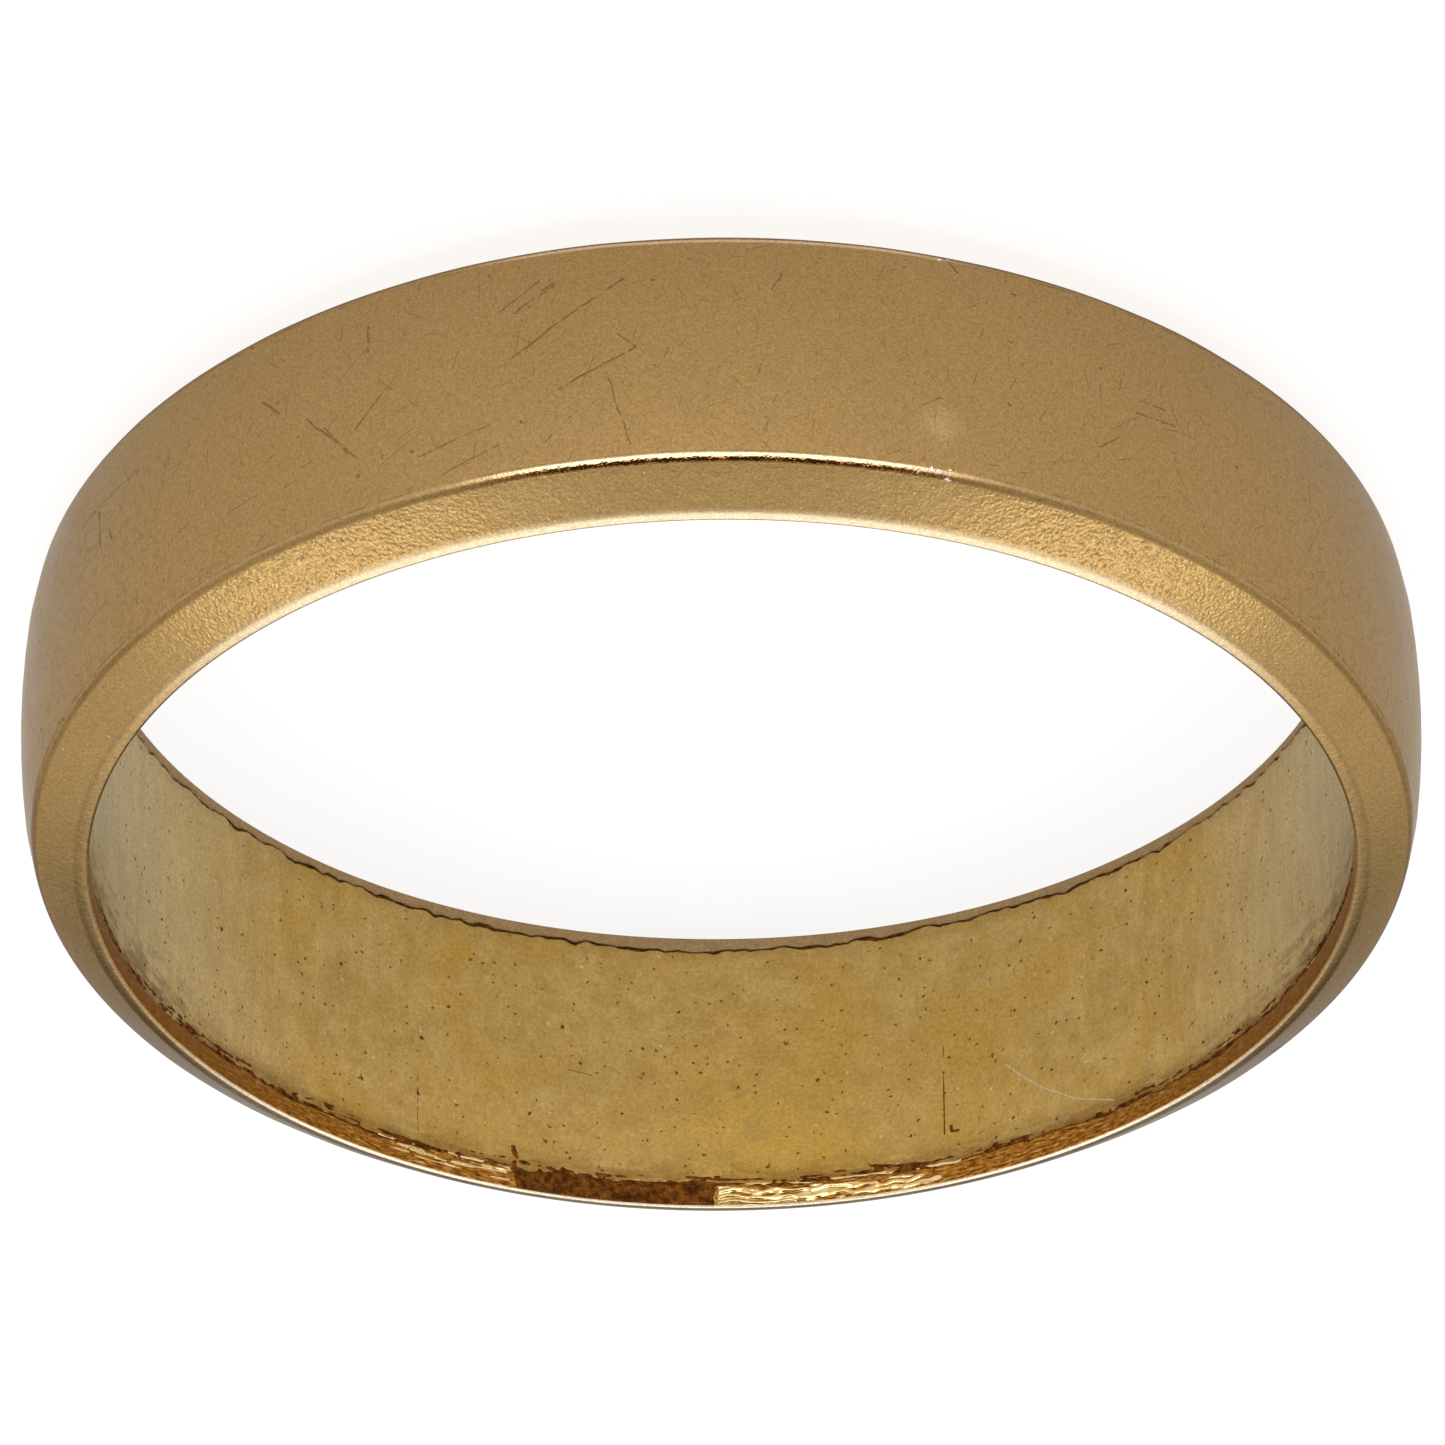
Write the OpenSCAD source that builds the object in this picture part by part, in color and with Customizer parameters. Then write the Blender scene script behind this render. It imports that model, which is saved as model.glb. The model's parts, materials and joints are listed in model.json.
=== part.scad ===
// Wedding band: a thin gold sheet formed over a plain metal core.
// The bore runs along Z. The origin is on the bore's axis, half-way along the width.
// The front rim, with the longer turned-in lip, faces +Z.

/* [Ring] */
// Inside circumference, which is also the ring size
ring_size = 57; // [46:0.5:72]
// Width of the band along the finger
band_w = 4.7; // [3:0.1:8]
// Thickness from the bore to the arris between bevel and face
wall_t = 0.85; // [0.7:0.05:1.6]
// Height of the crowned face above the two arrises
crown_h = 0.15; // [0.05:0.05:0.3]

/* [Rims] */
// Axial depth of the bevel at each rim
bevel_h = 0.5; // [0.3:0.05:0.8]
// Radial width of the flat strip between the bevel and the bore
strip_w = 0.18; // [0.1:0.02:0.3]

/* [Shell] */
// Thickness of the gold sheet
sheet_t = 0.15; // [0.1:0.01:0.2]
// Length of the lip turned into the bore at the front rim
front_lip = 0.36; // [0.2:0.02:0.6]
// Length of the lip turned into the bore at the back rim
back_lip = 0.18; // [0.2:0.02:0.6]

/* [Solder] */
// Width of the solder line between each lip and the core
seam_w = 0.05; // [0.03:0.01:0.1]
// Width of the solder in each butt joint
joint_w = 0.05; // [0.03:0.01:0.1]
// Angle of the shell's butt joint, from +X towards +Y
shell_joint_angle = 89; // [0:1:359]
// Angle of the core's butt joint, from +X towards +Y
core_joint_angle = 111; // [0:1:359]

/* [Hidden] */
$fn = 180;

bore_r = ring_size / (2 * PI);
half_w = band_w / 2;

// The face is an arc through both arrises, with its crown half-way between them.
arris_r = bore_r + wall_t;
arris_z = half_w - bevel_h;
crown_r = arris_r + crown_h;
face_arc_r = (arris_z ^ 2 + crown_h ^ 2) / (2 * crown_h);

// The bevel is a straight line from the strip to the arris.
strip_r = bore_r + strip_w;
bevel_run = arris_r - strip_r;
bevel_length = norm([bevel_run, bevel_h]);
bevel_out = bevel_h / bevel_length;
bevel_up = bevel_run / bevel_length;

// Radius at which the bevel, set in by a thickness, meets a level that far below the rim
function strip_end(inset) = strip_r - inset * (1 - bevel_up) / bevel_out;

// Height of the bevel, set in by a thickness, where its line passes the crown's radius
function bevel_end(inset) = half_w - (inset + bevel_out * (crown_r - strip_r)) / bevel_up;

// Cross-section of the whole band, with every outer surface set in by a thickness
module band_section(inset = 0) {
    rim_z = half_w - inset;
    intersection() {
        translate([crown_r - face_arc_r, 0]) circle(r = face_arc_r - inset);
        polygon([
            [bore_r, -rim_z], [strip_end(inset), -rim_z], [crown_r, -bevel_end(inset)],
            [crown_r, bevel_end(inset)], [strip_end(inset), rim_z], [bore_r, rim_z]
        ]);
    }
}

// A stretch of the bore's wall, one sheet deep
module wall_section(low_z, length) {
    translate([bore_r, low_z]) square([sheet_t, length]);
}

module front_lip_section() { wall_section(half_w - front_lip, front_lip); }

module back_lip_section() { wall_section(-half_w, back_lip); }

module front_seam_section() { wall_section(half_w - front_lip - seam_w, seam_w); }

module back_seam_section() { wall_section(-half_w + back_lip, seam_w); }

module core_section() {
    difference() {
        band_section(sheet_t);
        front_lip_section();
        back_lip_section();
        front_seam_section();
        back_seam_section();
    }
}

module shell_section() {
    difference() {
        band_section();
        core_section();
        front_seam_section();
        back_seam_section();
    }
}

// Flat slab through one side of the ring, where a strip's two ends meet
module joint_slab(angle) {
    rotate([0, 0, angle]) translate([0, -joint_w / 2, -band_w])
        cube([2 * crown_r, joint_w, 2 * band_w]);
}

// Gold sheet: crowned face, bevels, rim strips and the lips turned into the bore
module outer_shell() {
    color("#a8855a") difference() {
        rotate_extrude() shell_section();
        joint_slab(shell_joint_angle);
    }
}

// Yellow metal core, whose inside is the bore between the lips
module core_band() {
    color("#a6864f") difference() {
        rotate_extrude() core_section();
        joint_slab(core_joint_angle);
    }
}

// Solder between the front lip and the core
module front_solder_seam() {
    color("#8a5a1e") rotate_extrude() front_seam_section();
}

// Solder between the back lip and the core
module back_solder_seam() {
    color("#5a4426") rotate_extrude() back_seam_section();
}

// Solder where the two ends of the gold sheet meet
module shell_joint() {
    color("#e4c07d") intersection() {
        rotate_extrude() shell_section();
        joint_slab(shell_joint_angle);
    }
}

// Solder where the two ends of the core meet
module core_joint() {
    color("#7a6238") intersection() {
        rotate_extrude() core_section();
        joint_slab(core_joint_angle);
    }
}

outer_shell();
core_band();
front_solder_seam();
back_solder_seam();
shell_joint();
core_joint();
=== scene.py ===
"""Wedding band: a satin gold sheet turned over a yellow metal core, on a pale light table."""
import json
import math

import bpy
import numpy as np
from mathutils import Matrix, Vector


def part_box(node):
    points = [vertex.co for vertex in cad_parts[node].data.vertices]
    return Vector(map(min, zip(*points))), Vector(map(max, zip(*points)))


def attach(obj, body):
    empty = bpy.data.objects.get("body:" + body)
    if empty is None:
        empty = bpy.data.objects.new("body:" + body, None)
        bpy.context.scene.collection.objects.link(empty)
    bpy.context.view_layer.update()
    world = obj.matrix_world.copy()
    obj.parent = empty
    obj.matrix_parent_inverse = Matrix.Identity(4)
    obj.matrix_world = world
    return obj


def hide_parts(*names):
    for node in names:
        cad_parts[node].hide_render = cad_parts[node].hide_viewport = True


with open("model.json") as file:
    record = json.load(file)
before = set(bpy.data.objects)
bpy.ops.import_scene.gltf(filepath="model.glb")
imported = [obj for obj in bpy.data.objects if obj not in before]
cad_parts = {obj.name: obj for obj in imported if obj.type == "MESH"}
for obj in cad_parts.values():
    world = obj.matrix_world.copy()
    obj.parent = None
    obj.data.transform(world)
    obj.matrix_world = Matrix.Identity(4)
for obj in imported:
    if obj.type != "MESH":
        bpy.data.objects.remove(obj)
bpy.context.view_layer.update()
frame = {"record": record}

MM = 0.001
SEED = 57

# ---------------------------------------------------------------- sizes, from the frame, in metres
mounts = {m["name"]: m for m in frame["record"]["mounts"]}
BORE_R = mounts["finger_bore"]["dims"]["r_mm"] * MM
_, shell_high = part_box("outer_shell")
_, core_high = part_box("core_band")
_, front_seam_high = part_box("front_solder_seam")
back_seam_low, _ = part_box("back_solder_seam")
HALF_W = shell_high.z
CROWN_R = shell_high.x
SHEET_T = HALF_W - core_high.z
FRONT_LIP = HALF_W - front_seam_high.z
BACK_LIP = back_seam_low.z + HALF_W


def middle_angle(node):
    """Angle round the bore of a node that lies to one side of it, from +X towards +Y."""
    low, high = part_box(node)
    return math.atan2(low.y + high.y, low.x + high.x)


SHELL_JOINT = middle_angle("shell_joint")
CORE_JOINT = middle_angle("core_joint")

# The bevel, strip and crown, as in the CAD section
CROWN_H = 0.15 * MM
BEVEL_H = 0.5 * MM
STRIP_W = 0.18 * MM
ARRIS_R = CROWN_R - CROWN_H
ARRIS_Z = HALF_W - BEVEL_H
STRIP_R = BORE_R + STRIP_W
FRONT_EDGE = HALF_W - FRONT_LIP    # height of the front lip's free end
BACK_EDGE = -HALF_W + BACK_LIP     # and of the back one's

TURNS = 1240                       # steps round the ring
ANGLES = np.arange(TURNS) / TURNS * 2 * math.pi


# ---------------------------------------------------------------- small shape tools
def wander(step, size, seed):
    """A smooth random value up to size for each of ANGLES; step is its grain as an arc of the bore."""
    knots = max(3, int(round(2 * math.pi * BORE_R / step)))
    values = np.random.default_rng(SEED + seed).uniform(-1, 1, knots)
    place = ANGLES / (2 * math.pi) * knots
    low = np.floor(place).astype(int)
    share = place - low
    share = share * share * (3 - 2 * share)
    return size * (values[low % knots] * (1 - share) + values[(low + 1) % knots] * share)


def ripple(arc, height, cell_arc, cell_height, seed):
    """Smooth random values between -1 and 1 over an unrolled surface, with grain cell_arc by cell_height."""
    a, b = arc / cell_arc, height / cell_height
    i, j = np.floor(a).astype(int), np.floor(b).astype(int)
    s, t = a - i, b - j
    s, t = s * s * (3 - 2 * s), t * t * (3 - 2 * t)
    table = np.random.default_rng(SEED + seed).uniform(-1, 1, (509, 97))
    low = table[i % 509, j % 97] * (1 - s) + table[(i + 1) % 509, j % 97] * s
    high = table[i % 509, (j + 1) % 97] * (1 - s) + table[(i + 1) % 509, (j + 1) % 97] * s
    return low * (1 - t) + high * t


def turn_between(start, end, soft):
    """1 for angles between start and end, in degrees, falling to 0 over soft degrees."""
    degrees = np.degrees(ANGLES)
    up = np.clip((degrees - start) / soft, 0, 1)
    down = np.clip((end - degrees) / soft, 0, 1)
    return np.minimum(up, down)


def fillet(before, corner, after, radius, steps):
    """Points of an arc that rounds a corner of a cross-section."""
    before, corner, after = (np.array(p, float) for p in (before, corner, after))
    a = (before - corner) / np.linalg.norm(before - corner)
    b = (after - corner) / np.linalg.norm(after - corner)
    half = math.acos(float(np.clip(a @ b, -1, 1))) / 2
    reach = radius / math.tan(half)
    centre = corner + (a + b) / np.linalg.norm(a + b) * radius / math.sin(half)
    first = corner + a * reach - centre
    last = corner + b * reach - centre
    sweep = math.atan2(first[0] * last[1] - first[1] * last[0], float(first @ last))
    points = []
    for i in range(steps + 1):
        t = sweep * i / steps
        c, s = math.cos(t), math.sin(t)
        points.append(centre + (first[0] * c - first[1] * s, first[0] * s + first[1] * c))
    return points


def between(a, b, steps):
    """Points inside a straight stretch, without its ends."""
    return [np.array(a) + (np.array(b) - np.array(a)) * i / steps for i in range(1, steps)]


class Section:
    """A closed cross-section: (radius, height) points, each with its zone marks."""

    def __init__(self):
        self.points = []
        self.marks = []

    def add(self, points, **marks):
        self.points += [tuple(p) for p in points]
        self.marks += [marks] * len(points)


def sweep(name, section, shape, zones, angles=ANGLES, closed=True):
    """A mesh of a section carried round the bore. shape moves the (radius, height) arrays of each point."""
    radius = np.array([p[0] for p in section.points])
    height = np.array([p[1] for p in section.points])
    turns, points = len(angles), len(radius)
    r = np.repeat(radius[None, :], turns, axis=0)
    z = np.repeat(height[None, :], turns, axis=0)
    r, z = shape(r, z)
    x = r * np.cos(angles)[:, None]
    y = r * np.sin(angles)[:, None]
    co = np.stack([x, y, z], axis=-1).reshape(-1, 3)
    i = np.arange(turns if closed else turns - 1)[:, None]
    j = np.arange(points)[None, :]
    i2, j2 = (i + 1) % turns, (j + 1) % points
    quads = np.stack([i * points + j, i * points + j2, i2 * points + j2, i2 * points + j], axis=-1)
    faces = quads.reshape(-1, 4).tolist()
    if not closed:
        faces.append(list(range(points))[::-1])
        faces.append([(turns - 1) * points + k for k in range(points)])
    mesh = bpy.data.meshes.new(name)
    mesh.from_pydata(co.tolist(), [], faces)
    mesh.polygons.foreach_set("use_smooth", [True] * len(mesh.polygons))
    for zone in zones:
        layer = mesh.attributes.new(zone, "FLOAT", "POINT")
        values = np.array([m.get(zone, 0.0) for m in section.marks], np.float32)
        layer.data.foreach_set("value", np.tile(values, turns))
    piece = bpy.data.objects.new(name, mesh)
    bpy.context.scene.collection.objects.link(piece)
    return piece


# ---------------------------------------------------------------- the ragged lip edges
# front_edge and back_edge: how far each lip reaches from its rim; the gaps: the width of the crack beside it
front_edge = FRONT_LIP + wander(1.6 * MM, 0.04 * MM, 1) + wander(0.35 * MM, 0.03 * MM, 2)
front_edge = front_edge + wander(0.12 * MM, 0.018 * MM, 3)
back_edge = BACK_LIP + wander(2.2 * MM, 0.024 * MM, 4) + wander(0.45 * MM, 0.014 * MM, 5)
back_edge = back_edge + wander(0.14 * MM, 0.024 * MM, 6) + wander(1.1 * MM, 0.016 * MM, 10)
back_edge = back_edge + 0.018 * MM * np.round(wander(0.2 * MM, 1.5, 15))
front_gap = np.clip(0.010 * MM + wander(0.4 * MM, 0.022 * MM, 7), 0.0, 0.04 * MM)
back_gap = 0.022 * MM + wander(0.5 * MM, 0.02 * MM, 8) + wander(0.14 * MM, 0.026 * MM, 9)
back_gap = np.clip(back_gap, 0.0, 0.06 * MM)


def rim_roll(side):
    """A rim's rounding: a tight edge at the bore, a worn strip that leans outwards, a roll onto the bevel."""
    slope = math.degrees(math.atan2(ARRIS_R - STRIP_R, BEVEL_H))
    # Each arc: the angles between which its normal turns, its radius and its steps
    turns = ((180, 79, 0.05 * MM, 6), (79, 74, 0.9 * MM, 2), (74, slope, 0.32 * MM, 5))
    here = np.array([BORE_R, HALF_W - 0.05 * MM])
    points = [here]
    for start, end, radius, steps in turns:
        way = radius * np.array([math.cos(math.radians(start)), math.sin(math.radians(start))])
        middle = here - way
        for a in np.radians(np.linspace(start, end, steps + 1)[1:]):
            points.append(middle + radius * np.array([math.cos(a), math.sin(a)]))
        here = points[-1]
    return [(p[0], side * p[1]) for p in points]


def shell_piece():
    """The gold sheet: crowned face, bevels, strips and turned-in lips."""
    s = Section()
    rim_in = (BORE_R, HALF_W)
    rim_out = (STRIP_R, HALF_W)
    arris = (ARRIS_R, ARRIS_Z)
    arc_r = (ARRIS_Z ** 2 + CROWN_H ** 2) / (2 * CROWN_H)
    arc_half = math.asin(ARRIS_Z / arc_r)
    face = [
        (CROWN_R - arc_r + arc_r * math.cos(a), arc_r * math.sin(a))
        for a in np.linspace(arc_half * 0.92, -arc_half * 0.92, 9)
    ]
    inside = BORE_R + SHEET_T

    def rim(side):
        """One rim from its lip to the face, for side 1 at the front and -1 at the back."""
        out = Section()
        lip_z = side * (HALF_W - (FRONT_LIP if side > 0 else BACK_LIP))
        flip = [(p[0], side * p[1]) for p in (rim_in, rim_out, arris)]
        first_face = (face[0][0], side * face[0][1])
        out.add([(inside, lip_z)], lip=1)
        out.add([(BORE_R + 0.03 * MM, lip_z)], lip=1)
        out.add([(BORE_R + 0.006 * MM, lip_z + side * 0.008 * MM)], lip=1)
        out.add([(BORE_R, lip_z + side * 0.03 * MM)], lip=1)
        roll = rim_roll(side)
        out.add(between((BORE_R, lip_z + side * 0.03 * MM), roll[0], 3), lip=1)
        out.add(roll[:2], lip=1)
        out.add(roll[2:3], lip=0.5, strip=0.5)
        out.add(roll[3:9], strip=1)
        for i, point in enumerate(roll[9:]):
            fade = (i + 1) / (len(roll) - 9)
            out.add([point], strip=1 - fade, bevel=fade)
        corner = fillet(flip[1], flip[2], first_face, 0.25 * MM, 9)
        out.add(between(roll[-1], corner[0], 3), bevel=1)
        out.add(corner[:1], bevel=1)
        out.add(corner[1:2], bevel=0.6, arris=0.6)
        out.add(corner[2:5], arris=1)
        out.add(corner[5:8], arris=1, crest=1)
        out.add(corner[8:9], arris=0.5, crest=0.5)
        out.add(corner[9:])
        return out

    front, back = rim(1), rim(-1)
    s.points += front.points
    s.marks += front.marks
    s.add(face)
    s.points += back.points[::-1]
    s.marks += back.marks[::-1]
    under_z = HALF_W - SHEET_T
    under = [
        (inside, -under_z), (STRIP_R, -under_z), (ARRIS_R - SHEET_T, -ARRIS_Z + 0.05 * MM),
        (ARRIS_R - SHEET_T, ARRIS_Z - 0.05 * MM), (STRIP_R, under_z), (inside, under_z),
    ]
    s.add(under)

    lip_f = np.array([i for i, p in enumerate(s.points) if p[1] > FRONT_EDGE - 1e-9
                      and p[0] <= inside + 1e-9 and s.marks[i].get("lip")])
    lip_b = np.array([i for i, p in enumerate(s.points) if p[1] < BACK_EDGE + 1e-9
                      and p[0] <= inside + 1e-9 and s.marks[i].get("lip")])
    uneven = wander(9 * MM, 0.012 * MM, 11) + wander(2.5 * MM, 0.004 * MM, 12)
    arris_slip = wander(4 * MM, 0.012 * MM, 13) + wander(0.9 * MM, 0.005 * MM, 14)

    def shape(r, z):
        # The lips' free ends follow front_edge and back_edge, and the rolls at the rims stay put
        top = HALF_W - 0.07 * MM
        share = np.clip((top - z[:, lip_f]) / (top - FRONT_EDGE), 0, 1)
        z[:, lip_f] -= share * (front_edge - FRONT_LIP)[:, None]
        low = -HALF_W + 0.07 * MM
        share = np.clip((z[:, lip_b] - low) / (BACK_LIP - 0.07 * MM), 0, 1)
        z[:, lip_b] += share * (back_edge - BACK_LIP)[:, None]
        # The outside is slightly out of round; its arris wavers, and is more worn at the sides
        outer = np.clip((r - STRIP_R) / (ARRIS_R - STRIP_R), 0, 1)
        r += outer * uneven[:, None]
        near_arris = np.exp(-((np.abs(z) - ARRIS_Z) / (0.3 * MM)) ** 2) * outer
        r -= near_arris * 0.035 * MM * np.clip(1.35 * np.abs(np.cos(ANGLES)) - 0.35, 0, 1)[:, None]
        z += near_arris * arris_slip[:, None] * np.sign(z)
        # The front lip is sunk where the crust lies on it
        sunk = turn_between(70, 89, 0.6)[:, None] * (r <= BORE_R + 0.02 * MM) * (z > 0)
        return r + 0.012 * MM * sunk * (z < HALF_W - 0.08 * MM), z

    return sweep("outer_shell_sheet", s, shape, ("lip", "strip", "bevel", "arris", "crest"))


def core_piece():
    """The yellow core, whose bore wall lies between the two lips."""
    s = Section()
    top = FRONT_EDGE
    low = BACK_EDGE
    inside = BORE_R + SHEET_T
    s.add([(inside, low), (BORE_R + 0.035 * MM, low)], seam=1)
    s.add([(BORE_R + 0.008 * MM, low + 0.008 * MM)], seam=0.6)
    s.add([(BORE_R, low + 0.035 * MM)], seam=0.2)
    s.add(between((BORE_R, low + 0.035 * MM), (BORE_R, top - 0.035 * MM), 18))
    s.add([(BORE_R, top - 0.035 * MM)], seam=0.2)
    s.add([(BORE_R + 0.008 * MM, top - 0.008 * MM)], seam=0.6)
    s.add([(BORE_R + 0.035 * MM, top), (inside, top)], seam=1)
    rim_z = HALF_W - SHEET_T
    s.add([(inside, rim_z - 0.04 * MM), (ARRIS_R - SHEET_T, ARRIS_Z - 0.06 * MM),
           (ARRIS_R - SHEET_T, -ARRIS_Z + 0.06 * MM), (inside, -rim_z + 0.04 * MM)])
    uneven = wander(6 * MM, 0.006 * MM, 21)

    def shape(r, z):
        bore = r < inside + 1e-9
        upper = np.clip((z - 0.5 * top) / (0.5 * top), 0, 1) * bore * (z <= top + 1e-9)
        lower = np.clip((z - 0.5 * low) / (0.5 * low), 0, 1) * bore * (z >= low - 1e-9)
        z = z - upper * (front_edge - FRONT_LIP + front_gap)[:, None]
        z = z + lower * (back_edge - BACK_LIP + back_gap)[:, None]
        return r + uneven[:, None] * bore, z

    return sweep("core_band_sleeve", s, shape, ("seam",))


def seam_piece(name, side, edge, gap):
    """Solder in the crack between a lip and the core, sunk a little below the bore."""
    lip_z = HALF_W - edge
    s = Section()
    s.add([(BORE_R + 0.03 * MM, 0), (BORE_R + 0.024 * MM, 0.5), (BORE_R + 0.03 * MM, 1),
           (BORE_R + SHEET_T, 1), (BORE_R + SHEET_T, 0)])
    rough = wander(0.2 * MM, 0.012 * MM, 31 if side > 0 else 32)

    def shape(r, z):
        return r + rough[:, None] * (r < BORE_R + 0.05 * MM), side * (lip_z[:, None] - z * gap[:, None])

    return sweep(name, s, shape, ())


def joint_piece(name, angle, inner, outer, low, high, width, shown):
    """A thin slip of solder across the band, in a butt joint; beyond the shown heights it is closed over."""
    s = Section()
    corners = [(inner, low), (outer, low), (outer, high), (inner, high)]
    for i, corner in enumerate(corners):
        s.add([corner])
        s.add(between(corner, corners[(i + 1) % 4], 8))
    half = width / (2 * BORE_R)
    steps = np.linspace(angle - half, angle + half, 4)

    def shape(r, z):
        hidden = (z < shown[0]) | (z > shown[1])
        broken = ripple(z * 0, z, 1, 0.1 * MM, 81) * 0.011 * MM
        return r + (0.03 * MM * hidden + broken) * (r < inner + 0.02 * MM), z

    return sweep(name, s, shape, (), steps, closed=False)


def skin_piece(name, start, end, low, high, step, rise):
    """Solder or crust on the bore, between two angles in degrees; rise gives how far it stands proud."""
    s = Section()
    rows = int(round((high - low) / step))
    s.add([(BORE_R, low + (high - low) * i / rows) for i in range(rows + 1)])
    s.add([(BORE_R + 0.1 * MM, high), (BORE_R + 0.1 * MM, low)])
    angles = np.radians(np.arange(start, end, math.degrees(1.5 * step / BORE_R)))

    def shape(r, z):
        on_bore = r < BORE_R + 0.01 * MM
        turn = angles[:, None] + 0 * z
        lift = rise(np.degrees(turn), turn * BORE_R, z)
        return r - on_bore * np.maximum(lift, -0.05 * MM), z

    return sweep(name, s, shape, (), angles, closed=False)


def ease(value, low, high):
    """0 below low and 1 above high, smooth between."""
    t = np.clip((value - low) / (high - low), 0, 1)
    return t * t * (3 - 2 * t)


# The next four functions each give how far a skin stands proud of the bore. degrees and arc are the angle and
# the length round the bore from +X, and height is z. Where the result is below 0, the skin is out of sight.
def solder_run(degrees, arc, height):
    """Solder that ran along the front lip from the sheet's joint: wavy ridges that thin out away from it."""
    across = (height - FRONT_EDGE) / FRONT_LIP
    warp = ripple(arc, height, 0.55 * MM, 0.3 * MM, 41) + 0.5 * ripple(arc, height, 0.2 * MM, 0.12 * MM, 42)
    ridges = np.sin(2 * math.pi * (height / (0.1 * MM) + 0.75 * warp))
    lumps = ripple(arc, height, 0.16 * MM, 0.05 * MM, 43)
    away = (degrees - 89.3) / 22
    top_edge = 0.12 + 0.25 * away + 0.1 * ripple(arc, height * 0, 0.3 * MM, 1, 44)
    covered = ease(across, top_edge - 0.06, top_edge + 0.06) * (1 - ease(across, 0.84, 0.92))
    thin = ease(degrees, 89.2, 89.6) * (1 - 0.5 * ease(away, 0.3, 1.0)) * (1 - ease(away, 0.85, 1.05))
    return MM * (covered * thin * (0.016 + 0.012 * ridges + 0.010 * lumps) - 0.006)


def crust(degrees, arc, height):
    """Dark crumbly tarnish on the lip up to the joint, with a drip at its far end."""
    across = (height - FRONT_EDGE) / FRONT_LIP
    coarse = ripple(arc, height, 0.16 * MM, 0.10 * MM, 51)
    fine = ripple(arc, height, 0.06 * MM, 0.045 * MM, 52)
    ragged = ripple(arc, height * 0, 0.2 * MM, 1, 53) + ripple(arc, height * 0, 0.07 * MM, 1, 54)
    ragged = 0.16 * ragged
    covered = ease(across, -0.22 + ragged, 0.02 + ragged) * (1 - ease(across, 0.86, 0.93))
    turn = ease(degrees, 70.0, 70.5) * (1 - ease(degrees, 88.9, 89.1))
    drip_way = arc - math.radians(70.1) * BORE_R + 0.02 * MM * np.sin(height / (0.05 * MM))
    drip = np.exp(-(drip_way / (0.045 * MM)) ** 2) * ease(height, 1.5 * MM, 1.62 * MM)
    drip = drip * (1 - ease(across, 0.3, 0.6))
    drip = drip * (0.7 + 0.5 * ripple(arc, height, 0.09 * MM, 0.07 * MM, 55))
    cover = np.maximum(covered * turn, drip)
    return MM * (cover * (0.020 + 0.009 * coarse + 0.009 * fine) - 0.008)


def flecks(degrees, arc, height):
    """Broken flecks and threads of tarnish along the front crack."""
    centre = FRONT_EDGE + MM * (-0.05 + 0.05 * ripple(arc, height * 0, 1.1 * MM, 1, 61))
    spread = 0.09 * MM
    near = np.exp(-((height - centre) / spread) ** 2)
    threads = ripple(arc, height, 0.42 * MM, 0.035 * MM, 62)
    threads = threads + 0.5 * ripple(arc, height, 0.12 * MM, 0.03 * MM, 63)
    crumbs = ripple(arc, height, 0.07 * MM, 0.05 * MM, 64)
    return MM * (0.030 * near * (threads * 0.75 + crumbs * 0.45 + 0.06) - 0.0075)


def lip_threads(degrees, arc, height):
    """Gold threads drawn out along the lip beside the crust."""
    across = (height - FRONT_EDGE) / FRONT_LIP
    body = ease(across, 0.05, 0.2) * (1 - ease(across, 0.7, 0.85))
    body = body * ease(degrees, 56, 61) * (1 - ease(degrees, 69, 70))
    threads = ripple(arc + 2 * height, height, 0.5 * MM, 0.03 * MM, 71)
    threads = threads + 0.5 * ripple(arc, height, 0.15 * MM, 0.03 * MM, 72)
    return MM * (0.03 * body * (threads + 0.05) - 0.006)


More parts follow.
